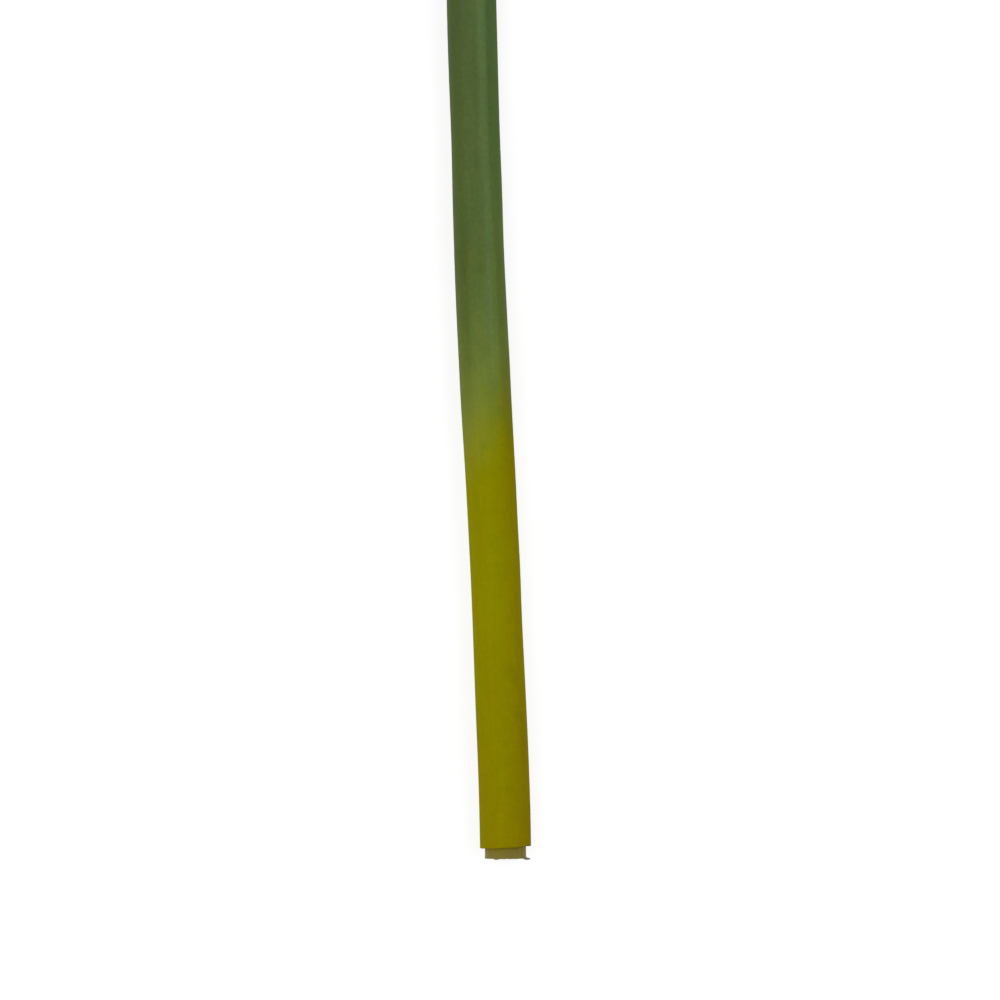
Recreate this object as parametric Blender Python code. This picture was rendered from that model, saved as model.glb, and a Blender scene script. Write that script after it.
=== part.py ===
"""Amaryllis stem, artificial, cut at both ends and lying on its side.

A stiff hollow core tube runs inside a soft painted skin and stands a little out of it at the foot.
The stem lies along Y with its foot towards -Y. It is +Z up, in metres, and its origin is the
middle of its box, on the surface that it lies on. The dimensions below are in millimetres.
"""

import math

import bmesh
import bpy
from mathutils import Euler, Matrix, Vector

MM = 0.001

# The stem's run from the foot up: station along Y, sideways offset along X, diameter over the skin
STEM_RUN = (
    (-10.0, 0.15, 18.00),
    (0.0, 0.00, 18.00),
    (30.0, -0.75, 18.05),
    (60.0, -2.00, 17.80),
    (90.0, -3.30, 17.45),
    (120.0, -4.70, 17.60),
    (150.0, -6.35, 17.85),
    (185.0, -8.20, 17.95),
    (215.0, -9.50, 17.55),
    (250.0, -10.55, 17.20),
    (300.0, -11.95, 17.50),
    (350.0, -13.00, 17.50),
    (400.0, -13.70, 17.30),
)
STEM_TOP = 400.0
RING_STEP = 20.0
AXIS_HEIGHT = 8.55  # less than the skin's radius, so that the underside is pressed flat

SKIN_BORE = 15.1
SKIN_SIDES = 40
SKIN_CUT_STATION = -0.33
SKIN_CUT_TURN = 2.55  # degrees about Z: the left side is the longer one

CORE_DIAMETER = 14.5
CORE_BORE = 11.3
CORE_SIDES = 36
CORE_PROUD = 4.35  # how far the core's cut lies below station 0

# Flash that the cut left on the core's edge: a sliver off its right side, a nib on its upper wall
SLIVER_ROOT_RADIUS = 0.40
SLIVER_TIP_RADIUS = 0.10
SLIVER_ROOT_REACH = 6.5  # from the core's axis
SLIVER_TIP_REACH = 9.0
SLIVER_DROOP = 0.2
SLIVER_ANGLE = 12.0  # degrees round the core from its right side, over the top
NIB_ROOT_RADIUS = 0.70
NIB_TIP_RADIUS = 0.25
NIB_LENGTH = 1.8
NIB_PROUD = 0.3
NIB_ANGLE = 120.0
FLASH_SIDES = 8

CUT_MARGIN = 3.0  # how much longer than its cuts a piece starts out
CUTTER_SIZE = 60.0
WELD_DISTANCE = 0.01


def clear_scene():
    for obj in list(bpy.data.objects):
        bpy.data.objects.remove(obj)


def new_collection(name):
    collection = bpy.data.collections.new(name)
    bpy.context.scene.collection.children.link(collection)
    return collection


def new_material(name, colour, roughness):
    material = bpy.data.materials.new(name)
    material.use_nodes = True
    shader = material.node_tree.nodes["Principled BSDF"]
    shader.inputs["Base Color"].default_value = (*colour, 1.0)
    shader.inputs["Roughness"].default_value = roughness
    shader.inputs["Metallic"].default_value = 0.0
    return material


def run_slope(knot, column):
    """The run's slope at a knot, taken across its neighbours."""
    low = STEM_RUN[max(knot - 1, 0)]
    high = STEM_RUN[min(knot + 1, len(STEM_RUN) - 1)]
    return (high[column] - low[column]) / (high[0] - low[0])


def run_value(station, column):
    """A column of the run at a station, read from the cubic through the knots."""
    knot = 0
    while knot < len(STEM_RUN) - 2 and STEM_RUN[knot + 1][0] <= station:
        knot += 1
    start, end = STEM_RUN[knot], STEM_RUN[knot + 1]
    span = end[0] - start[0]
    u = (station - start[0]) / span
    return (
        (2 * u**3 - 3 * u**2 + 1) * start[column]
        + (u**3 - 2 * u**2 + u) * span * run_slope(knot, column)
        + (3 * u**2 - 2 * u**3) * end[column]
        + (u**3 - u**2) * span * run_slope(knot + 1, column)
    )


def stem_offset(station):
    return run_value(station, 1)


def stem_diameter(station):
    return run_value(station, 2)


def stem_tube(name, collection, first, last, diameter, sides):
    """A closed round bar along the stem's run; its diameter is a function of the station."""
    curve = bpy.data.curves.new(name, "CURVE")
    curve.dimensions = "3D"
    curve.twist_mode = "Z_UP"
    curve.bevel_depth = MM / 2
    curve.bevel_resolution = (sides - 4) // 2
    curve.use_fill_caps = True
    steps = round((last - first) / RING_STEP)
    spline = curve.splines.new("POLY")
    spline.points.add(steps)
    for i, point in enumerate(spline.points):
        station = first + (last - first) * i / steps
        point.co = (stem_offset(station) * MM, station * MM, AXIS_HEIGHT * MM, 1.0)
        point.radius = diameter(station)
    guide = bpy.data.objects.new(name + "_guide", curve)
    collection.objects.link(guide)
    tube = closed_mesh(name, guide)
    bpy.data.objects.remove(guide)
    collection.objects.link(tube)
    return tube


def closed_mesh(name, guide):
    """A mesh object of the curve's evaluated shape, with its caps welded on."""
    bpy.context.view_layer.update()
    graph = bpy.context.evaluated_depsgraph_get()
    mesh = bpy.data.meshes.new_from_object(guide.evaluated_get(graph))
    welded = bmesh.new()
    welded.from_mesh(mesh)
    bmesh.ops.remove_doubles(welded, verts=welded.verts, dist=WELD_DISTANCE * MM)
    bmesh.ops.recalc_face_normals(welded, faces=welded.faces)
    welded.to_mesh(mesh)
    welded.free()
    made = bpy.data.objects.new(name, mesh)
    made.matrix_world = guide.matrix_world
    return made


def as_cutter(obj, collection):
    """Files an object under the cutters, unseen in renders."""
    for old in list(obj.users_collection):
        old.objects.unlink(obj)
    collection.objects.link(obj)
    obj.hide_render = True
    obj.display_type = "WIRE"
    return obj


def box_below(name, collection, size, face_middle, turn=Euler((0.0, 0.0, 0.0)), down=(0, -1, 0)):
    """A box whose face has its middle at a point, and which lies on that face's down side."""
    bpy.ops.mesh.primitive_cube_add(size=1.0)
    made = bpy.context.object
    made.name = name
    made.data.transform(Matrix.Diagonal((*(side * MM for side in size), 1.0)))
    reach = Vector(side * step / 2 for side, step in zip(size, down))
    reach.rotate(turn)
    made.location = (Vector(face_middle) + reach) * MM
    made.rotation_euler = turn
    return as_cutter(made, collection)


def spike(name, collection, root_radius, tip_radius, root, tip):
    """A tapered sliver from its root to its tip."""
    along = tip - root
    bpy.ops.mesh.primitive_cone_add(
        vertices=FLASH_SIDES,
        radius1=root_radius * MM,
        radius2=tip_radius * MM,
        depth=along.length * MM,
        location=(root + tip) / 2 * MM,
        rotation=along.to_track_quat("Z", "Y").to_euler(),
    )
    made = bpy.context.object
    made.name = name
    return as_cutter(made, collection)


def boolean(target, tool, operation):
    modifier = target.modifiers.new(operation.lower() + "_" + tool.name, "BOOLEAN")
    modifier.operation = operation
    modifier.object = tool
    modifier.solver = "EXACT"


def hollow_out(target, collection, first, bore):
    """Drills the target along the stem's run, from a station on and right out of the top."""
    name = target.name + "_bore"
    cutter = stem_tube(name, collection, first, STEM_TOP + CUT_MARGIN, lambda _: bore, CORE_SIDES)
    boolean(target, as_cutter(cutter, collection), "DIFFERENCE")


def cut_foot(target, collection, station, turn=0.0):
    """Cuts off what lies below a station, by a plane turned some degrees about Z."""
    size = (CUTTER_SIZE, CUTTER_SIZE, CUTTER_SIZE)
    middle = (stem_offset(station), station, AXIS_HEIGHT)
    turned = Euler((0.0, 0.0, math.radians(turn)))
    cutter = box_below(target.name + "_foot_cut", collection, size, middle, turned)
    boolean(target, cutter, "DIFFERENCE")


def press_flat(target, collection):
    """Takes off what would reach below the surface that the stem lies on."""
    size = (CUTTER_SIZE * 2, STEM_TOP + CUTTER_SIZE, CUTTER_SIZE)
    middle = (0.0, STEM_TOP / 2, 0.0)
    surface = box_below("surface", collection, size, middle, down=(0, 0, -1))
    boolean(target, surface, "DIFFERENCE")


def make_skin(parts, cutters):
    """The soft painted skin, a thick-walled tube that the core fills."""
    first = SKIN_CUT_STATION - CUT_MARGIN
    skin = stem_tube("skin", parts, first, STEM_TOP, stem_diameter, SKIN_SIDES)
    hollow_out(skin, cutters, first - CUT_MARGIN, SKIN_BORE)
    press_flat(skin, cutters)
    cut_foot(skin, cutters, SKIN_CUT_STATION, SKIN_CUT_TURN)
    skin.data.materials.append(new_material("painted_skin", (0.20, 0.19, 0.01), 0.6))
    return skin


def core_point(angle, radius, station):
    """A point round the core, at an angle in degrees from its right side over the top."""
    across = Vector((math.cos(math.radians(angle)), 0.0, math.sin(math.radians(angle))))
    return Vector((stem_offset(station), station, AXIS_HEIGHT)) + across * radius


def add_flash(core, cutters, cut):
    """Joins the sliver and the nib to the core's cut edge."""
    sliver_root = core_point(SLIVER_ANGLE, SLIVER_ROOT_REACH, cut + SLIVER_ROOT_RADIUS)
    sliver_tip = core_point(SLIVER_ANGLE, SLIVER_TIP_REACH, cut - SLIVER_DROOP)
    sliver = spike(
        "sliver", cutters, SLIVER_ROOT_RADIUS, SLIVER_TIP_RADIUS, sliver_root, sliver_tip
    )
    boolean(core, sliver, "UNION")
    wall_middle = (CORE_DIAMETER + CORE_BORE) / 4
    nib_root = core_point(NIB_ANGLE, wall_middle, cut - NIB_PROUD + NIB_LENGTH)
    nib_tip = core_point(NIB_ANGLE, wall_middle, cut - NIB_PROUD)
    nib = spike("nib", cutters, NIB_ROOT_RADIUS, NIB_TIP_RADIUS, nib_root, nib_tip)
    boolean(core, nib, "UNION")


def make_core(parts, cutters):
    """The stiff hollow core, flush with the skin at the top and proud of it at the foot."""
    cut = -CORE_PROUD
    first = cut - CUT_MARGIN
    core = stem_tube("core", parts, first, STEM_TOP, lambda _: CORE_DIAMETER, CORE_SIDES)
    hollow_out(core, cutters, first - CUT_MARGIN, CORE_BORE)
    cut_foot(core, cutters, cut)
    add_flash(core, cutters, cut)
    core.data.materials.append(new_material("core_plastic", (0.25, 0.20, 0.07), 0.5))
    return core


def stand_on_origin(pieces, everything):
    """Parents everything to one empty, and moves that so that the pieces' box is on the origin."""
    root = bpy.data.objects.new("stem_origin", None)
    bpy.context.scene.collection.objects.link(root)
    for obj in everything:
        obj.parent = root
    bpy.context.view_layer.update()
    graph = bpy.context.evaluated_depsgraph_get()
    shown = [piece.evaluated_get(graph) for piece in pieces]
    corners = [made.matrix_world @ Vector(corner) for made in shown for corner in made.bound_box]
    low = [min(corner[axis] for corner in corners) for axis in range(3)]
    high = [max(corner[axis] for corner in corners) for axis in range(3)]
    root.location = (-(low[0] + high[0]) / 2, -(low[1] + high[1]) / 2, -low[2])


def main():
    clear_scene()
    parts = new_collection("amaryllis_stem")
    cutters = new_collection("cutters")
    pieces = [make_skin(parts, cutters), make_core(parts, cutters)]
    for piece in pieces:
        piece.data.shade_smooth()
        piece.data.set_sharp_from_angle(angle=math.radians(30))
    stand_on_origin(pieces, [*parts.objects, *cutters.objects])


main()
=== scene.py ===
"""Looks of the artificial amaryllis stem: its painted skin, its core tube, the floor, light and camera.

Lengths are in millimetres until a mesh or a light is made. A station is a distance up the stem
from its foot, and an angle runs round the stem from its right side (+X) over its top (+Z).
"""

import functools
import math

import bpy
import numpy as np
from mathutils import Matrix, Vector


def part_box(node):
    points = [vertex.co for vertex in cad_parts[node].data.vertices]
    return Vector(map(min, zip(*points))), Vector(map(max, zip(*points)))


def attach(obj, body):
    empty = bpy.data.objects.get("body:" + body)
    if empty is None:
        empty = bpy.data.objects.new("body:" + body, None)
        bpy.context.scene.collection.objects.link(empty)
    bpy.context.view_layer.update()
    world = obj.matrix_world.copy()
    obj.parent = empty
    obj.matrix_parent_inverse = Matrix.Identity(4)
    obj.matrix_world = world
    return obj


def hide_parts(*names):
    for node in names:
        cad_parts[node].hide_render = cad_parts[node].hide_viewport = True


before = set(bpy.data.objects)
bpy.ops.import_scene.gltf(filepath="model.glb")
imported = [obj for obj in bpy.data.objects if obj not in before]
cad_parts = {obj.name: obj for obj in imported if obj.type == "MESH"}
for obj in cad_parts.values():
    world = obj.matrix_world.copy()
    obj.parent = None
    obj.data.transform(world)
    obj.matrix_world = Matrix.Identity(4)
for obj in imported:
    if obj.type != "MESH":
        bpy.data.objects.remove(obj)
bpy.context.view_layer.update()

MM = 0.001

# The stem's run, as the solids have it: station, sideways offset, diameter over the skin
STEM_RUN = (
    (-10.0, 0.15, 18.00),
    (0.0, 0.00, 18.00),
    (30.0, -0.75, 18.05),
    (60.0, -2.00, 17.80),
    (90.0, -3.30, 17.45),
    (120.0, -4.70, 17.60),
    (150.0, -6.35, 17.85),
    (185.0, -8.20, 17.95),
    (215.0, -9.50, 17.55),
    (250.0, -10.55, 17.20),
    (300.0, -11.95, 17.50),
    (350.0, -13.00, 17.50),
    (400.0, -13.70, 17.30),
)
OFFSET, DIAMETER = 1, 2  # columns of the run
FOOT_RADIUS = STEM_RUN[1][DIAMETER] / 2
STEM_TOP = 400.0
AXIS_HEIGHT = 8.55
SKIN_BORE_RADIUS = 7.36
CORE_RADIUS = 7.30
CORE_BORE_RADIUS = 5.65
CORE_PROUD = 4.32

# Where the stem's foot lies in the frame
CORE_REACH = 4.65  # from the skin's foot to the lowest point of the solid core
FOOT_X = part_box("skin")[1].x / MM - FOOT_RADIUS
FOOT_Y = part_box("core")[0].y / MM + CORE_REACH

# Soft swells and dents in the skin's sides: station, angle, half length, half width, height
SWELLS = (
    (10.0, 0.0, 12.0, 45.0, 0.11),
    (44.0, 180.0, 16.0, 45.0, 0.10),
    (28.0, 0.0, 18.0, 45.0, 0.04),
    (99.0, 0.0, 13.0, 45.0, 0.22),
    (127.0, 0.0, 12.0, 45.0, 0.05),
    (107.0, 180.0, 28.0, 45.0, 0.08),
    (157.0, 180.0, 14.0, 45.0, 0.13),
    (172.0, 0.0, 8.0, 45.0, 0.07),
    (233.0, 0.0, 17.0, 45.0, 0.27),
    (232.0, 180.0, 13.0, 45.0, 0.11),
    (283.0, 180.0, 28.0, 45.0, 0.20),
)

# Smudges on the paint: station, angle, half length, half width (both in mm), strength
GREEN_SMUDGES = (
    (9.2, 116.0, 1.8, 1.6, 0.04),
    (20.0, 77.0, 1.8, 1.7, 0.09),
    (27.0, 109.0, 3.0, 1.0, 0.04),
    (46.4, 52.0, 1.8, 1.5, 0.13),
    (59.4, 54.0, 2.6, 1.7, 0.12),
    (61.8, 61.0, 2.2, 1.8, 0.13),
    (80.0, 63.0, 1.6, 1.4, 0.07),
    (92.0, 124.0, 1.8, 2.2, 0.04),
    (102.8, 116.0, 1.3, 1.5, 0.03),
    (112.0, 39.0, 1.2, 1.4, 0.08),
    (124.0, 131.0, 7.0, 1.0, 0.04),
    (126.0, 70.0, 3.0, 1.4, 0.05),
    (133.6, 64.0, 0.9, 1.8, 0.06),
    (141.7, 101.0, 1.7, 1.7, 0.14),
    (153.8, 60.0, 2.4, 2.4, 0.10),
    (172.0, 122.0, 3.0, 2.0, 0.08),
    (185.3, 128.0, 3.4, 2.6, 0.10),
    (189.2, 104.0, 1.5, 0.8, 0.06),
    (192.7, 76.0, 0.8, 1.8, 0.08),
    (204.0, 99.0, 1.8, 2.2, 0.09),
    (212.0, 96.0, 1.2, 2.0, 0.06),
    (215.5, 100.0, 3.0, 4.5, 0.05),
    (221.0, 109.0, 5.0, 4.0, 0.05),
    (225.5, 97.0, 1.2, 1.2, 0.07),
    (242.0, 88.0, 2.6, 1.1, 0.14),
    (253.0, 111.0, 1.2, 1.0, 0.12),
    (255.4, 90.0, 0.8, 1.6, 0.06),
    (266.0, 95.0, 0.7, 2.0, 0.06),
    (270.0, 104.0, 1.4, 2.2, 0.08),
    (284.0, 118.0, 3.0, 1.8, 0.08),
    (291.0, 111.0, 1.5, 1.2, 0.10),
)
BROWN_SMUDGES_AND_LIP_SHADE = (
    # the first, at the skin foot's right corner, is painted brown shade at the lip; the rest are brown
    # smudges
    (-0.2, 8.0, 2.0, 2.2, 0.30),
    (9.0, 20.0, 6.0, 2.4, 0.05),
    (30.5, 34.0, 1.8, 1.2, 0.07),
    (38.0, 36.0, 9.0, 1.8, 0.10),
    (45.5, 37.0, 2.2, 1.3, 0.16),
    (70.0, 38.0, 26.0, 1.7, 0.06),
)
OLIVE_SMUDGES = (
    (160.5, 75.0, 1.8, 1.8, 0.10),
    (206.5, 106.0, 6.5, 4.5, 0.22),
    (252.0, 69.0, 2.8, 1.8, 0.10),
)
SMUDGE_FIRMNESS = 1.3  # how sharply their edges fall away

# Seeded ripples: height, seed, number of waves, their turns round the stem, their lengths along it
SKIN_RIPPLES = (
    (0.025, 5, 10, (2, 4), (40, 130)),
    (0.012, 6, 24, (4, 22), (60, 260)),
    (0.006, 7, 30, (2, 30), (2.5, 9)),
)
SKIN_CUT_RIPPLES = (0.03, 3, 14, (5, 40), (50, 60))
SKIN_TOP_FACE = (0.06, 8, 12, (3, 30), (5, 20))
SKIN_FOOT_FACE = (0.035, 9, 12, (3, 30), (5, 20))
SKIN_FACE_STRETCH = 12.0  # how much shorter these waves are across a cut face
CORE_CUT_RIPPLES = (0.025, 23, 16, (4, 40), (50, 60))
CORE_BORE_RIPPLES = (0.02, 25, 8, (3, 14), (50, 60))
CORE_FOOT_FACE = (0.03, 26, 14, (3, 40), (5, 20))
CORE_FACE_STRETCH = 10.0

# The skin's foot cut: its middle, its rise to the right, and its bumps as (angle, half width, height)
SKIN_CUT_STATION = -0.33
SKIN_CUT_RISE = 0.40
SKIN_CUT_BUMPS = ((180.0, 14.0, -0.08), (34.0, 10.0, 0.25), (62.0, 16.0, -0.27))
SKIN_CUT_FADE = 12.0  # the height over which the rows above the cut become square
LIP_RADIUS = 0.22

# Wrinkles that a pinch made at the right of the skin's foot: station, tilt, half length, depth. A positive
# depth is a groove with painted shade in it, a negative one a ridge with a painted highlight on it.
WRINKLES = (
    (1.07, -0.10, 0.6, 0.9),
    (1.42, -0.10, 0.6, -1.4),
    (1.78, -0.10, 0.7, 1.4),
    (2.13, 0.0, 0.6, -1.4),
    (2.49, 0.0, 0.7, 0.7),
    (1.10, 0.0, 2.4, -0.2),
    (1.62, 0.0, 2.4, 0.25),
    (2.15, 0.0, 2.4, -0.2),
)
WRINKLE_ANGLE = 52.0
WRINKLE_WIDTH = 0.18
WRINKLE_DEPTH = 0.08
# how much painted shade the wrinkles' grooves get, and how much painted highlight their ridges
WRINKLE_SHADE = 0.36

# Short folds up from the cut beside the wrinkles, as (angle, half width, depth), with painted shade and
# highlight like the wrinkles'
FOLDS = ((49.0, 2.4, 0.4), (46.0, 2.4, -0.3), (39.5, 2.4, 0.4), (32.0, 2.4, 0.3))
FOLD_LENGTH = 1.5

# The painted shade at the skin's foot lip: how far round from the right it goes, its fade there, and its
# levels
LIP_SHADE_TURN = 108.0
LIP_SHADE_FADE = 10.0
LIP_SHADE_HEIGHT = 0.5
LIP_SHADE = 0.13
PINCH_SHADE = (61.0, 12.0, 0.30)  # angle, half width, level

# The core's drawn lines, and its scored line and raised seam as (angle, half width, height)
DRAWN_LINE_SEED = 21
DRAWN_LINES = 26
DRAWN_LINE_DEPTHS = (0.01, 0.03)
DRAWN_LINE_WIDTHS = (1.0, 2.2)
SCORED_LINE = (38.8, 1.9, -0.12)
RAISED_SEAM = (44.5, 2.6, 0.04)
# painted shade in the scored line and a painted highlight along the raised seam, kept on the core's points
SEAM_SHADE = (SCORED_LINE[:2] + (-1.2,), RAISED_SEAM[:2] + (1.0,))

# The core's foot cut: its nib, the droop and depth of its edge, and the burr that curls out of it.
# Bumps are (angle, half width, height).
NIB = ((120.0, 7.0, 0.32), (110.0, 12.0, 0.06), (165.0, 20.0, 0.06))
CUT_DROOP = ((12.0, 12.0, 0.56),)
CUT_EDGE_DEPTH = 0.5
CUT_EDGE_EXTRA = ((12.0, 14.0, 0.25),)
CUT_EDGE_ROUND = 0.12
CUT_EDGE_SHARE = 0.12  # the share of the edge's rows that the rounding takes
BURR = ((12.0, 9.0, 1.72), (178.0, 7.0, 0.16))
BURR_FULLNESS = 0.4
BURR_CURLS = (0.03, 0.12)  # up at its tip, and back between its tip and the wall
BURR_WORN = 0.5  # the reach from which the burr looks fully worn

# The photograph's frame: the stem's width at its foot, and the pixel that its foot's middle is at
FOOT_WIDTH_PIXELS = 50.8
PIXEL = 2 * FOOT_RADIUS / FOOT_WIDTH_PIXELS
FOOT_PIXEL = (505.4, 846.0)
FRAME_PIXELS = 1000
CAMERA_DISTANCE = 3000.0
SENSOR = 36.0
CLIP_END = 100.0  # in metres

# Points round each tube, rows up it as (start, end, step), and rows over its edges and cut faces
SKIN_COLUMNS = 200
SKIN_ROWS = ((0.0, 3.2, 0.1), (3.2, 8.0, 0.3), (8.0, 20.0, 0.7), (20.0, STEM_TOP, 1.2))
SKIN_BORE_STEP = 20.0
SKIN_FACE_ROWS = 7
CORE_COLUMNS = 240
CORE_ROWS = ((0.0, 4.0, 0.3), (4.0, STEM_TOP, 18.0))
CORE_BORE_STEP = 18.0
CORE_EDGE_ROWS = 19
CORE_FACE_ROWS = 6
SHARP_ANGLE = 50.0

# The floor and the surround
FLOOR_SIZE = 40.0  # in metres
FLOOR_GREY = 0.30
FLOOR_GLOW = 0.76
OVERHEAD_LEVEL = 0.42  # of the surround, where the horizon has 1
OVERHEAD_RISE = 0.7  # where that level begins, from 0 at the horizon to 1 straight up

# Softboxes over the stem: name, tilt to the right, distance, size, power
LAMPS = (
    ("key_softbox", 35.0, 1500.0, (950.0, 1200.0), 9.0),
    ("fill_softbox", -33.0, 1800.0, (1800.0, 2400.0), 15.0),
)


def hermite(stations, column):
    """A column of the run at an array of stations, on the same cubic as the solids."""
    run = np.array(STEM_RUN)
    at, values = run[:, 0], run[:, column]
    before = np.maximum(np.arange(len(at)) - 1, 0)
    after = np.minimum(np.arange(len(at)) + 1, len(at) - 1)
    slopes = (values[after] - values[before]) / (at[after] - at[before])
    i = np.clip(np.searchsorted(at, stations, "right") - 1, 0, len(at) - 2)
    span = at[i + 1] - at[i]
    u = (stations - at[i]) / span
    return (
        (2 * u**3 - 3 * u**2 + 1) * values[i]
        + (u**3 - 2 * u**2 + u) * span * slopes[i]
        + (3 * u**2 - 2 * u**3) * values[i + 1]
        + (u**3 - u**2) * span * slopes[i + 1]
    )


def place(stations, radii, angles):
    """Points in the frame for arrays of stations, radii and angles."""
    x = FOOT_X + hermite(stations, OFFSET) + radii * np.cos(angles)
    y = FOOT_Y + stations
    z = np.maximum(AXIS_HEIGHT + radii * np.sin(angles), 0.0)
    return np.stack([x, y, z], -1)


def full_turn(columns):
    """Even angles round the stem, as one row."""
    return np.linspace(0, 2 * math.pi, columns, endpoint=False)[None, :]


def turned_away(angles, middle):
    """How far angles are from a middle angle, in degrees from -180 to 180."""
    return (np.degrees(angles) - middle + 180) % 360 - 180


def bump(angles, middle, half_width, height=1.0):
    """A height at a middle angle that falls away over a half width, with both in degrees."""
    return height * np.exp(-((turned_away(angles, middle) / half_width) ** 2))


def bumps(angles, marks):
    """Several bumps round the stem, each (middle angle, half width, height)."""
    return sum(bump(angles, *mark) for mark in marks)


def swells(stations, angles):
    """The skin's soft swells and dents, as a height over its round form."""
    total = np.zeros(np.broadcast(stations, angles).shape)
    for at, angle, half_length, half_width, height in SWELLS:
        along = np.exp(-(((stations - at) / half_length) ** 2))
        total += height * along * bump(angles, angle, half_width)
    return total


def smudges(marks, stations, angles):
    """How strongly the smudges of one colour cover the skin, from 0 to 1."""
    total = np.zeros(np.broadcast(stations, angles).shape)
    for at, angle, half_length, half_width, strength in marks:
        around = np.radians(turned_away(angles, angle)) * FOOT_RADIUS
        reach = ((stations - at) / half_length) ** 2 + (around / half_width) ** 2
        total = np.maximum(total, strength * np.exp(-(reach**SMUDGE_FIRMNESS)))
    return total


def ripples(stations, angles, height, seed, count, orders, waves):
    """A smooth seeded ripple of about the given height, which closes on itself round the stem."""
    rng = np.random.default_rng(seed)
    total = np.zeros(np.broadcast(stations, angles).shape)
    for _ in range(count):
        order = rng.integers(orders[0], orders[1] + 1)
        wave = rng.uniform(*waves)
        phase = rng.uniform(0, 2 * math.pi)
        total = total + np.cos(order * angles + 2 * math.pi * stations / wave + phase)
    return height * (total / math.sqrt(count / 2))


def rings(angles, *sections):
    """Stations and radii of a run of rings round the stem, from sections that each give both."""
    wide = [np.broadcast_arrays(at, radius, angles)[:2] for at, radius in sections]
    return [np.concatenate(parts) for parts in zip(*wide)]


def piece_from_rings(name, stations, radii, angles, outer_rows):
    """A closed mesh of rings round the stem, the last ring joined to the first.

    It keeps each point's place on the unbent stem, and whether it is on a cut or inner face,
    which all rows after the outer ones are.
    """
    points = place(stations, radii, angles)
    row_count, column_count = stations.shape
    row = np.arange(row_count)[:, None]
    column = np.arange(column_count)[None, :]
    next_row = (row + 1) % row_count
    next_column = (column + 1) % column_count
    corners = [
        row * column_count + column,
        row * column_count + next_column,
        next_row * column_count + next_column,
        next_row * column_count + column,
    ]
    faces = np.stack([np.broadcast_to(c, stations.shape) for c in corners], -1).reshape(-1, 4)
    mesh = bpy.data.meshes.new(name)
    mesh.from_pydata((points.reshape(-1, 3) * MM).tolist(), [], faces.tolist())
    mesh.shade_smooth()
    mesh.set_sharp_from_angle(angle=math.radians(SHARP_ANGLE))
    inner = np.zeros(stations.shape)
    inner[outer_rows:] = 1.0
    unbent = [radii * np.cos(angles), radii * np.sin(angles), stations]
    write_attribute(mesh, "unbent", np.stack(unbent, -1))
    write_attribute(mesh, "inner", inner)
    made = bpy.data.objects.new(name, mesh)
    bpy.context.scene.collection.objects.link(made)
    return made


def write_attribute(mesh, name, values):
    """Keeps a number, or three, on each point of a mesh, from an array of its rings."""
    kind, field = ("FLOAT_VECTOR", "vector") if values.ndim == 3 else ("FLOAT", "value")
    attribute = mesh.attributes.new(name, kind, "POINT")
    attribute.data.foreach_set(field, np.ascontiguousarray(values, np.float32).ravel())


def steps(*spans):
    """A column of stations through several spans, each (start, end, step), with the last end kept."""
    parts = [np.arange(start, end - step / 4, step) for start, end, step in spans]
    return np.concatenate([*parts, [spans[-1][1]]])[:, None]


def skin_foot(angles):
    """The station of the skin's ragged foot cut, which slants up to the right, with a step there."""
    slant = SKIN_CUT_STATION + SKIN_CUT_RISE * np.cos(angles)
    return slant + bumps(angles, SKIN_CUT_BUMPS) + ripples(0.0, angles, *SKIN_CUT_RIPPLES)


def foot_wrinkles(up, angles):
    """How deep the small wrinkles in the skin's foot are, at heights over its cut."""
    across = np.radians(turned_away(angles, WRINKLE_ANGLE)) * FOOT_RADIUS
    total = np.zeros(np.broadcast(up, angles).shape)
    for at, tilt, half_length, depth in WRINKLES:
        line = (up - at - tilt * across) / WRINKLE_WIDTH
        total += depth * np.exp(-((across / half_length) ** 2) - line**2)
    return total + bumps(angles, FOLDS) * np.exp(-((up / FOLD_LENGTH) ** 2))


def foot_shade(up, angles):
    """The painted shade in the skin's foot wrinkles and at its lip, and the painted highlights on the
    wrinkles' ridges.
    """
    right = np.clip((LIP_SHADE_TURN - np.abs(turned_away(angles, 0))) / LIP_SHADE_FADE, 0, 1)
    lip = (LIP_SHADE * right + bump(angles, *PINCH_SHADE)) * np.exp(-((up / LIP_SHADE_HEIGHT) ** 2))
    return WRINKLE_SHADE * foot_wrinkles(up, angles) + lip


def skin_side(foot, up, angles):
    """Stations and radii of the skin's outer side, for heights over its foot cut."""
    settle = np.clip(1 - up / SKIN_CUT_FADE, 0, 1) ** 2
    at = up * STEM_TOP / up[-1] + foot * settle
    radius = hermite(at, DIAMETER) / 2
    radius += swells(at, angles)
    for ripple in SKIN_RIPPLES:
        radius += ripples(at, angles, *ripple)
    radius -= WRINKLE_DEPTH * foot_wrinkles(up, angles)
    for from_end in (up, STEM_TOP - up):
        near = np.clip(1 - from_end / LIP_RADIUS, 0, 1)
        radius -= LIP_RADIUS * (1 - np.sqrt(1 - near**2))
    return at, radius


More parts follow.
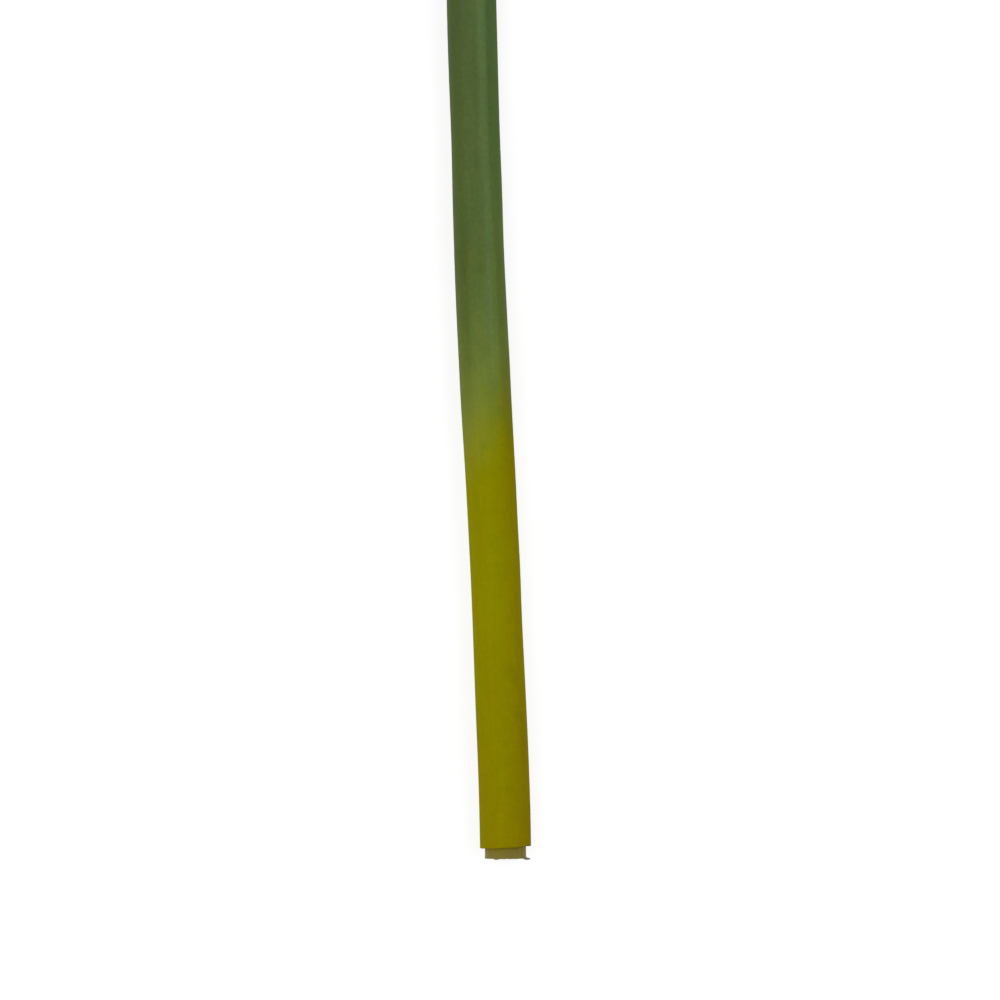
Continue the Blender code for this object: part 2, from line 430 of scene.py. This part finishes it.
def make_skin_piece():
    angles = full_turn(SKIN_COLUMNS)
    foot = skin_foot(angles)
    up = steps(*SKIN_ROWS)
    side_at, side_radius = skin_side(foot, up, angles)
    inward = np.linspace(1, 0, SKIN_FACE_ROWS)[1:-1, None]
    top_radius = SKIN_BORE_RADIUS + (side_radius[-1:] - SKIN_BORE_RADIUS) * inward
    top_rough = ripples(top_radius * SKIN_FACE_STRETCH, angles, *SKIN_TOP_FACE)
    bore_down = steps((0.0, STEM_TOP, SKIN_BORE_STEP))[::-1]
    foot_radius = SKIN_BORE_RADIUS + (side_radius[:1] - SKIN_BORE_RADIUS) * inward[::-1]
    foot_rough = ripples(foot_radius * SKIN_FACE_STRETCH, angles, *SKIN_FOOT_FACE)
    stations, radii = rings(
        angles,
        (side_at, side_radius),
        (STEM_TOP + top_rough * inward, top_radius),
        (bore_down[:-1], SKIN_BORE_RADIUS),
        (foot, SKIN_BORE_RADIUS),
        (foot + foot_rough, foot_radius),
    )
    piece = piece_from_rings("painted_stem_skin", stations, radii, angles, len(up))
    # painted shade and highlights at the skin's foot, which darken and lighten its paint
    shade = np.zeros(stations.shape)
    shade[: len(up)] = foot_shade(up, angles)
    write_attribute(piece.data, "shade", shade)
    for name, (marks, _) in SMUDGES.items():
        write_attribute(piece.data, name, smudges(marks, stations, angles))
    return piece


def core_wall(angles):
    """The core's outer radius, with its fine drawn lines and a raised seam beside a scored line."""
    rng = np.random.default_rng(DRAWN_LINE_SEED)
    lines = np.zeros(angles.shape)
    for _ in range(DRAWN_LINES):
        depth = rng.uniform(*DRAWN_LINE_DEPTHS)
        middle = rng.uniform(0, 360)
        lines -= depth * bump(angles, middle, rng.uniform(*DRAWN_LINE_WIDTHS))
    return CORE_RADIUS + (lines + bumps(angles, (SCORED_LINE, RAISED_SEAM)))


def core_cut(angles):
    """The station of the core's foot cut, at whose upper left a nib stands out."""
    return ripples(0.0, angles, *CORE_CUT_RIPPLES) - CORE_PROUD - bumps(angles, NIB)


def make_core_piece():
    angles = full_turn(CORE_COLUMNS)
    wall = core_wall(angles)
    bore_cut = core_cut(angles)
    cut = bore_cut - bumps(angles, CUT_DROOP)
    edge_depth = CUT_EDGE_DEPTH + bumps(angles, CUT_EDGE_EXTRA)

    turn = np.linspace(0, 1, CORE_EDGE_ROWS)[:, None]
    out = np.sin(math.pi * turn) ** BURR_FULLNESS
    burr = bumps(angles, BURR)
    curl = burr * (BURR_CURLS[0] * out**2 - BURR_CURLS[1] * out * (1 - out))
    rounding = CUT_EDGE_ROUND * np.clip(1 - turn / CUT_EDGE_SHARE, 0, 1)

    side_foot = cut + edge_depth
    up = steps(*CORE_ROWS)[1:]
    inward = np.linspace(0, 1, CORE_FACE_ROWS)[1:-1, None]
    bore_down = steps((0.0, STEM_TOP, CORE_BORE_STEP))[::-1]
    foot_radius = CORE_BORE_RADIUS + (CORE_RADIUS - CUT_EDGE_ROUND - CORE_BORE_RADIUS) * inward
    foot_rough = ripples(foot_radius * CORE_FACE_STRETCH, angles, *CORE_FOOT_FACE)
    stations, radii = rings(
        angles,
        (cut + edge_depth * turn + curl, wall + burr * out - rounding),
        (side_foot + up * (STEM_TOP - side_foot) / up[-1], wall),
        (STEM_TOP, CORE_RADIUS + (CORE_BORE_RADIUS - CORE_RADIUS) * inward),
        (
            bore_cut + (bore_down / STEM_TOP) * (STEM_TOP - bore_cut),
            CORE_BORE_RADIUS + ripples(0.0, angles, *CORE_BORE_RIPPLES),
        ),
        (bore_cut + (cut - bore_cut) * inward**2 + foot_rough, foot_radius),
    )
    piece = piece_from_rings("hollow_core_tube", stations, radii, angles, len(turn) + len(up))
    worn = np.zeros(stations.shape)
    worn[: len(turn)] = np.clip(burr * out / BURR_WORN, 0, 1)
    write_attribute(piece.data, "worn", worn)
    write_attribute(piece.data, "seam", np.broadcast_to(bumps(angles, SEAM_SHADE), stations.shape))
    return piece


class Shader:
    """One material's node tree, with short calls for the nodes that the materials use."""

    def __init__(self, name):
        self.material = bpy.data.materials.new(name)
        self.material.use_nodes = True
        self.tree = self.material.node_tree
        self.surface = self.tree.nodes["Principled BSDF"]

    def node(self, kind, **settings):
        """A new node of a kind, with its settings."""
        made = self.tree.nodes.new("ShaderNode" + kind)
        for name, value in settings.items():
            setattr(made, name, value)
        return made

    def feed(self, socket, value):
        """Links a socket to an output, or sets it to a plain value."""
        if isinstance(value, bpy.types.NodeSocket):
            self.tree.links.new(value, socket)
        else:
            socket.default_value = value

    def feed_surface(self, inputs):
        """Links or sets inputs of the surface, by their names."""
        for name, value in inputs.items():
            self.feed(self.surface.inputs[name], value)

    def maths(self, operation, a, b):
        made = self.node("Math", operation=operation)
        self.feed(made.inputs[0], a)
        self.feed(made.inputs[1], b)
        return made.outputs[0]

    def total(self, *values):
        return functools.reduce(functools.partial(self.maths, "ADD"), values)

    def product(self, *values):
        return functools.reduce(functools.partial(self.maths, "MULTIPLY"), values)

    def ramp(self, value, low, high, to_low=0.0, to_high=1.0, smooth=True):
        """A value's smooth step from one level to another between two limits."""
        made = self.node("MapRange", interpolation_type="SMOOTHSTEP" if smooth else "LINEAR")
        for socket, item in zip(made.inputs, (value, low, high, to_low, to_high)):
            self.feed(socket, item)
        return made.outputs[0]

    def ramps(self, value, reaches):
        """The product of several smooth steps of one value."""
        return self.product(*(self.ramp(value, *reach) for reach in reaches))

    def mix(self, share, a, b, blend="MIX"):
        """Two colours mixed by a share, over the node's own sockets for colours."""
        made = self.node("Mix", data_type="RGBA", blend_type=blend)
        self.feed(made.inputs["Factor"], share)
        self.feed(made.inputs[6], a if isinstance(a, bpy.types.NodeSocket) else (*a, 1.0))
        self.feed(made.inputs[7], b if isinstance(b, bpy.types.NodeSocket) else (*b, 1.0))
        return made.outputs[2]

    def tint(self, colour, factor, share=1.0):
        """A colour times another, as far as the share says."""
        return self.mix(share, colour, factor, "MULTIPLY")

    def brighten(self, colour, factor):
        """A colour times a grey factor."""
        made = self.node("VectorMath", operation="SCALE")
        self.feed(made.inputs[0], colour)
        self.feed(made.inputs["Scale"], factor)
        return made.outputs[0]

    def split(self, vector):
        made = self.node("SeparateXYZ")
        self.feed(made.inputs[0], vector)
        return made.outputs

    def join(self, red, green, blue):
        made = self.node("CombineXYZ")
        for socket, value in zip(made.inputs, (red, green, blue)):
            self.feed(socket, value)
        return made.outputs[0]

    def unbent(self):
        """The point on the unbent stem, how far across it is, and its station, in millimetres."""
        point = self.node("Attribute", attribute_name="unbent").outputs["Vector"]
        parts = self.split(point)
        return point, parts["X"], parts["Z"]

    def level(self, name):
        """A number kept on the mesh's points."""
        return self.node("Attribute", attribute_name=name).outputs["Fac"]

    def noise(self, vector, sizes, detail=2.0, roughness=0.5):
        """Noise whose grains are about these many millimetres across, round, and along."""
        scaled = self.node("VectorMath", operation="MULTIPLY")
        self.feed(scaled.inputs[0], vector)
        self.feed(scaled.inputs[1], tuple(1 / size for size in sizes))
        made = self.node("TexNoise")
        self.feed(made.inputs["Vector"], scaled.outputs[0])
        self.feed(made.inputs["Scale"], 1.0)
        self.feed(made.inputs["Detail"], detail)
        self.feed(made.inputs["Roughness"], roughness)
        return made.outputs[0]

    def swing(self, vector, amount, *grain):
        """Noise turned into a swing of plus and minus an amount."""
        centred = self.maths("SUBTRACT", self.noise(vector, *grain), 0.5)
        return self.product(centred, amount * 2)

    def swings(self, vector, kinds):
        """Several swings, each (amount, sizes), with their detail and roughness if they have them."""
        return [self.swing(vector, *kind) for kind in kinds]

    def colours(self, value, stops):
        """A colour that runs through several stops, each (value, colour)."""
        first, last = stops[0][0], stops[-1][0]
        made = self.node("ValToRGB")
        elements = made.color_ramp.elements
        while len(elements) < len(stops):
            elements.new(0.5)
        for element, (at, colour) in zip(elements, stops):
            element.position = (at - first) / (last - first)
            element.color = (*colour, 1.0)
        self.feed(made.inputs[0], self.ramp(value, first, last, smooth=False))
        return made.outputs[0]

    def relief(self, height):
        """A surface normal from a height."""
        made = self.node("Bump")
        self.feed(made.inputs["Strength"], 1.0)
        self.feed(made.inputs["Distance"], RELIEF_DEPTH * MM)
        self.feed(made.inputs["Height"], height)
        return made.outputs[0]


def srgb(red, green, blue):
    """A screen colour, 0 to 255, as linear light."""
    parts = [c / 255 for c in (red, green, blue)]
    return tuple(c / 12.92 if c <= 0.04045 else ((c + 0.055) / 1.055) ** 2.4 for c in parts)


# Spray paints up the stem's middle, as (station, screen colour)
PAINT_STOPS = (
    (2.0, srgb(128, 117, 2)),
    (16.0, srgb(126, 118, 0)),
    (48.0, srgb(126, 120, 0)),
    (84.0, srgb(128, 124, 0)),
    (131.0, srgb(126, 123, 0)),
    (141.0, srgb(121, 124, 16)),
    (150.0, srgb(115, 122, 30)),
    (163.0, srgb(101, 115, 43)),
    (180.0, srgb(89, 106, 41)),
    (195.0, srgb(78, 97, 36)),
    (212.0, srgb(74, 92, 37)),
    (245.0, srgb(73, 91, 38)),
    (265.0, srgb(71, 89, 38)),
    (280.0, srgb(71, 89, 39)),
)

# Levels of each spray across the stem, as (millimetres from its middle, level). The yellow gets darker and
# browner to the right.
# The pale, bluish stripe right of the green's middle is partly a painted highlight and partly the coat's
# own reflection; the green's darker sides are partly paint and partly painted shade.
YELLOW_ACROSS = (
    (-9.0, (1.04, 1.02, 1.0)),
    (-1.0, (1.00, 1.00, 1.0)),
    (2.2, (0.935, 0.925, 0.8)),
    (5.0, (0.90, 0.84, 0.5)),
    (9.0, (0.815, 0.73, 0.3)),
)
GREEN_ACROSS = (
    (-9.0, (0.94, 0.915, 0.82)),
    (-6.0, (0.89, 0.88, 0.72)),
    (-4.2, (0.98, 0.945, 0.83)),
    (-3.0, (1.01, 0.99, 0.96)),
    (0.5, (1.00, 1.01, 1.06)),
    (1.8, (1.00, 1.03, 1.10)),
    # a painted highlight stripe, from here to 4.4 mm, beside the coat's own reflection
    (2.8, (1.04, 1.11, 1.24)),
    (4.4, (1.01, 1.10, 1.20)),
    # darker on the right from here, partly paint and partly painted shade
    (5.5, (0.76, 0.87, 0.82)),
    (8.0, (0.75, 0.86, 0.70)),
    (9.0, (0.73, 0.82, 0.48)),
)
# Extra levels across near the top of the green, which widen and brighten its painted highlight stripe and
# add painted shade left of its middle
UPPER_ACROSS = (
    (-9.0, (1.00, 1.00, 1.0)),
    (-6.0, (0.94, 0.94, 1.0)),
    (-4.4, (0.91, 0.90, 0.965)),
    (-3.0, (0.935, 0.92, 0.99)),
    (-1.0, (0.96, 0.94, 1.0)),
    (0.5, (1.03, 1.05, 1.08)),
    (3.6, (1.03, 1.05, 1.10)),
    (4.9, (1.05, 1.08, 1.22)),
    (6.3, (0.98, 1.00, 0.98)),
    (9.0, (0.94, 0.94, 0.86)),
)
# Extra levels across lower down the green, which soften its painted highlight stripe and move its
# brightest part further right
LOWER_ACROSS = (
    (0.0, (1.00, 1.00, 1.00)),
    (1.0, (0.99, 1.00, 1.01)),
    (2.4, (0.945, 0.955, 0.93)),
    (3.1, (0.95, 0.965, 0.95)),
    (3.8, (0.965, 0.995, 1.00)),
    (4.5, (0.975, 1.00, 1.04)),
    (5.4, (1.02, 1.04, 1.09)),
    (6.0, (1.02, 1.045, 1.08)),
    (6.8, (1.00, 1.00, 0.98)),
    (9.0, (1.00, 1.00, 1.00)),
)

# Where the extra levels set in and fade out, as (nothing at, full at) along the stem
UPPER_REACHES = ((278.0, 292.0),)
LOWER_REACHES = ((262.0, 245.0), (150.0, 165.0))

# Tints on one side: where they set in across the stem, where along it, and what they multiply
# the paint by. A place is (nothing at, full at), or has the two levels after it.
SIDE_TINTS = (
    # warm on the right, from the border to the middle of the green
    ((2.6, 5.4), ((250.0, 210.0), (125.0, 190.0, 0.25, 1.0), (125.0, 140.0)), (1.12, 0.97, 0.90)),
    # yellower at the right rim
    ((5.0, 7.0), ((235.0, 210.0),), (1.0, 1.0, 0.7)),
    # olive at both sides of the lower green
    ((-3.5, -6.5), ((148.0, 165.0), (216.0, 198.0)), (1.02, 0.96, 1.0)),
    ((5.8, 7.4), ((112.0, 128.0), (216.0, 198.0)), (1.02, 0.96, 1.0)),
    # paler on the right of the green, and darker on the right of the border
    ((3.0, 6.5), ((190.0, 215.0), (258.0, 235.0)), (1.05, 1.05, 1.05)),
    ((3.0, 6.5), ((182.0, 168.0), (108.0, 125.0)), (0.96, 0.96, 0.96)),
)

# The border of the two sprays: how it arches and slants across the stem, and where each part sets in
BORDER_ARCH = 0.08
BORDER_SLANT = -1.2
GREEN_SETS_IN = (140.0, 200.0)
BLUE_SETS_IN = (129.5, 137.5)
BLUE_GONE_ACROSS = (2.0, 6.0)
BLUE_GONE_ALONG = (157.0, 139.0)
BLUE_LEFT = 0.05
# how the green's levels across, with their painted highlight stripe, are shifted between two stations
SHEEN_SHIFT = (205.0, 245.0, -0.5, 0.3)  # of the green's levels across, between two stations

# Noise in the paint: its swing, its grain across, round and along the stem, its detail and roughness
BORDER_DRIFT = (4.2, (5.0, 5.0, 6.0), 3.0)
BORDER_STIPPLE = (7.0, (0.45, 0.45, 0.6), 2.0, 0.7)
HUE = (1.0, (4.0, 4.0, 8.0))
TONE = (0.06, (1.2, 1.2, 24.0))
SPOTS = (0.19, (1.2, 1.2, 1.5), 3.0)
CLOUDS = (0.11, (5.0, 5.0, 9.0))
STREAKS = (0.05, (0.9, 0.9, 40.0), 3.0)
STROKES = (0.06, (5.0, 5.0, 0.5))
GRAIN = (0.05, (0.3, 0.3, 0.3), 2.0, 0.7)
PAINT_RELIEF = (((0.25, 0.25, 0.3), 3.0, 0.6), ((0.7, 0.7, 25.0),))
RELIEF_DEPTH = 0.03

# Levels that differ between the yellow and the green, in this order
HUE_LEVELS = (0.05, 0.11)
MOTTLE_LEVELS = (0.5, 1.0)
ROUGHNESS_LEVELS = (0.85, 0.6)
PAINT_LEVEL = 1.02
GREEN_COAT = 0.155

# Smudges by the name that they are kept under: their places, and what they multiply the paint by. The
# brown ones also hold painted shade at the skin foot's right corner.
SMUDGES = {
    "green_smudge": (GREEN_SMUDGES, (0.0, 0.35, 0.5)),
    "brown_smudge_and_lip_shade": (BROWN_SMUDGES_AND_LIP_SHADE, (0.55, 0.0, 0.2)),
    "olive_smudge": (OLIVE_SMUDGES, (1.1, 0.9, 0.0)),
}
CUT_FACE_COLOUR = srgb(118, 110, 20)

# The core's colours, and where its left edge, its painted shade across (lighter at the left) and the
# skin's overspray are
CORE_COLOUR = srgb(112, 101, 44)
CORE_EDGE_COLOUR = srgb(114, 106, 60)
OVERSPRAY_COLOUR = srgb(115, 101, 24)
WORN_COLOUR = srgb(104, 99, 82)
CORE_EDGE_ACROSS = (-5.5, -7.0)
CORE_SHADE_ACROSS = (-6.0, 5.0, 1.17, 0.98)
OVERSPRAY_REACHES = ((-3.6, -0.8), (6.0, 1.0))
SEAM_LEVEL = 0.09
CORE_NOISE = ((0.10, (0.35, 0.35, 60.0), 3.0, 0.6), (0.06, (3.0, 3.0, 3.0)))
CORE_RELIEF = (0.3, 0.3, 40.0)


def sprayed_paint(shader, unbent, across, station):
    """Both sprays up the stem, and the station at which each point of their soft border counts."""
    arch = shader.product(across, across, BORDER_ARCH)
    slant = shader.product(across, BORDER_SLANT)
    waver = shader.swings(unbent, (BORDER_DRIFT, BORDER_STIPPLE))
    arched = shader.total(station, arch, *waver)
    slanted = shader.total(station, slant, *waver)
    gone = shader.product(shader.ramp(across, *BLUE_GONE_ACROSS), shader.ramp(station, *BLUE_GONE_ALONG))
    kept = shader.ramp(gone, 0.0, 1.0, 1.0, BLUE_LEFT)
    paint = shader.split(shader.colours(arched, PAINT_STOPS))
    blue = shader.split(shader.colours(slanted, PAINT_STOPS))["Z"]
    blue = shader.product(blue, kept, shader.ramp(arched, *BLUE_SETS_IN))
    return shader.join(paint["X"], paint["Y"], blue), arched


def level_across(shader, paint, green, across, station):
    """The paint with its levels across the stem, which hold painted highlight and painted shade, and its
    tints on one side.
    """
    shifted = shader.total(across, shader.ramp(station, *SHEEN_SHIFT))
    yellow_levels = shader.colours(across, YELLOW_ACROSS)
    paint = shader.tint(paint, shader.mix(green, yellow_levels, shader.colours(shifted, GREEN_ACROSS)))
    for levels, reaches in ((UPPER_ACROSS, UPPER_REACHES), (LOWER_ACROSS, LOWER_REACHES)):
        paint = shader.tint(paint, shader.colours(across, levels), shader.ramps(station, reaches))
    for side, reaches, factor in SIDE_TINTS:
        share = shader.product(shader.ramp(across, *side), shader.ramps(station, reaches))
        paint = shader.tint(paint, factor, share)
    return paint


def mottle(shader, paint, green, unbent):
    """The paint with its swings of hue and tone, its mottle, streaks and grain, and its painted shade and
    highlights at the foot.
    """
    hue = shader.product(shader.swing(unbent, *HUE), shader.ramp(green, 0.0, 1.0, *HUE_LEVELS))
    tone = shader.swing(unbent, *TONE)
    less_tone = shader.maths("SUBTRACT", 1.0, tone)
    less_hue = shader.maths("SUBTRACT", 1.0, hue)
    paint = shader.tint(paint, shader.join(shader.total(1.0, hue, tone), less_tone, less_hue))
    coarse = shader.total(*shader.swings(unbent, (SPOTS, CLOUDS)))
    coarse = shader.product(coarse, shader.ramp(green, 0.0, 1.0, *MOTTLE_LEVELS))
    fine = shader.swings(unbent, (STREAKS, STROKES, GRAIN))
    # painted shade and highlights at the foot, taken off the paint's level
    shaded = shader.maths("SUBTRACT", PAINT_LEVEL, shader.level("shade"))
    return shader.brighten(paint, shader.total(coarse, *fine, shaded))


def painted_skin():
    shader = Shader("soft_painted_skin")
    unbent, across, station = shader.unbent()
    paint, arched = sprayed_paint(shader, unbent, across, station)
    green = shader.ramp(arched, *GREEN_SETS_IN)
    paint = level_across(shader, paint, green, across, station)
    paint = mottle(shader, paint, green, unbent)
    for name, (_, factor) in SMUDGES.items():
        paint = shader.tint(paint, factor, shader.level(name))
    heights = [shader.noise(unbent, *grain) for grain in PAINT_RELIEF]
    shader.feed_surface({
        "Base Color": shader.mix(shader.level("inner"), paint, CUT_FACE_COLOUR),
        "Roughness": shader.ramp(green, 0.0, 1.0, *ROUGHNESS_LEVELS),
        "Specular IOR Level": 0.01,
        "Coat Weight": shader.product(green, GREEN_COAT),
        "Coat Roughness": 0.4,
        "Coat IOR": 1.7,
        "Normal": shader.relief(shader.total(*heights)),
    })
    return shader.material


def core_plastic():
    shader = Shader("drawn_core_plastic")
    unbent, across, station = shader.unbent()
    base = shader.mix(shader.ramp(across, *CORE_EDGE_ACROSS), CORE_COLOUR, CORE_EDGE_COLOUR)
    base = shader.mix(shader.ramps(station, OVERSPRAY_REACHES), base, OVERSPRAY_COLOUR)
    base = shader.mix(shader.level("worn"), base, WORN_COLOUR)
    # painted shade in the scored line, painted highlight on the raised seam
    seam = shader.product(shader.level("seam"), SEAM_LEVEL)
    shade = shader.ramp(across, *CORE_SHADE_ACROSS)
    shader.feed_surface({
        "Base Color": shader.brighten(base, shader.total(*shader.swings(unbent, CORE_NOISE), seam, shade)),
        "Roughness": 0.55,
        "Specular IOR Level": 0.08,
        "Normal": shader.relief(shader.noise(unbent, CORE_RELIEF)),
    })
    return shader.material


def dress(piece, node, material):
    piece.data.materials.append(material)
    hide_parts(node)
    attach(piece, "root")


def make_floor():
    bpy.ops.mesh.primitive_plane_add(size=FLOOR_SIZE)
    floor = bpy.context.object
    floor.name = "pale_floor"
    material = bpy.data.materials.new("pale_floor")
    material.use_nodes = True
    surface = material.node_tree.nodes["Principled BSDF"]
    surface.inputs["Base Color"].default_value = (FLOOR_GREY, FLOOR_GREY, FLOOR_GREY, 1.0)
    surface.inputs["Roughness"].default_value = 1.0
    surface.inputs["Specular IOR Level"].default_value = 0.0
    surface.inputs["Emission Color"].default_value = (1.0, 1.0, 1.0, 1.0)
    surface.inputs["Emission Strength"].default_value = FLOOR_GLOW
    floor.data.materials.append(material)


def make_world():
    """An even pale surround, a little darker overhead than at the horizon."""
    world = bpy.data.worlds.new("studio")
    bpy.context.scene.world = world
    world.use_nodes = True
    tree = world.node_tree
    sky = tree.nodes["Background"]
    direction = tree.nodes.new("ShaderNodeTexCoord").outputs["Generated"]
    split = tree.nodes.new("ShaderNodeSeparateXYZ")
    tree.links.new(direction, split.inputs[0])
    level = tree.nodes.new("ShaderNodeMapRange")
    level.interpolation_type = "SMOOTHSTEP"
    level.inputs["From Min"].default_value = 0.0
    level.inputs["From Max"].default_value = OVERHEAD_RISE
    level.inputs["To Min"].default_value = 1.0
    level.inputs["To Max"].default_value = OVERHEAD_LEVEL
    tree.links.new(split.outputs["Z"], level.inputs["Value"])
    tree.links.new(level.outputs[0], sky.inputs["Strength"])
    sky.inputs["Color"].default_value = (1.0, 1.0, 1.0, 1.0)


def softbox(name, tilt, distance, size, power):
    """A rectangular lamp over the stem, tilted towards its right by some degrees."""
    light = bpy.data.lights.new(name, "AREA")
    light.shape = "RECTANGLE"
    light.size, light.size_y = size[0] * MM, size[1] * MM
    light.energy = power
    lamp = bpy.data.objects.new(name, light)
    bpy.context.scene.collection.objects.link(lamp)
    tilt = math.radians(tilt)
    lamp.location = Vector((math.sin(tilt) * distance, 0.0, math.cos(tilt) * distance)) * MM
    lamp.rotation_euler = (0.0, tilt, 0.0)
    lamp.visible_camera = False


def make_camera():
    """Looks straight down, framed so that the stem falls on the photograph's own pixels."""
    camera = bpy.data.cameras.new("camera")
    camera.sensor_width = SENSOR
    camera.lens = SENSOR * CAMERA_DISTANCE / (FRAME_PIXELS * PIXEL)
    camera.clip_end = CLIP_END
    holder = bpy.data.objects.new("camera", camera)
    bpy.context.scene.collection.objects.link(holder)
    middle = FRAME_PIXELS / 2
    x = FOOT_X + (middle - FOOT_PIXEL[0]) * PIXEL
    y = FOOT_Y + (FOOT_PIXEL[1] - middle) * PIXEL
    holder.location = Vector((x, y, AXIS_HEIGHT + CAMERA_DISTANCE)) * MM
    bpy.context.scene.camera = holder


dress(make_skin_piece(), "skin", painted_skin())
dress(make_core_piece(), "core", core_plastic())
make_floor()
make_world()
for lamp_settings in LAMPS:
    softbox(*lamp_settings)
make_camera()
bpy.context.scene.view_settings.view_transform = "Standard"
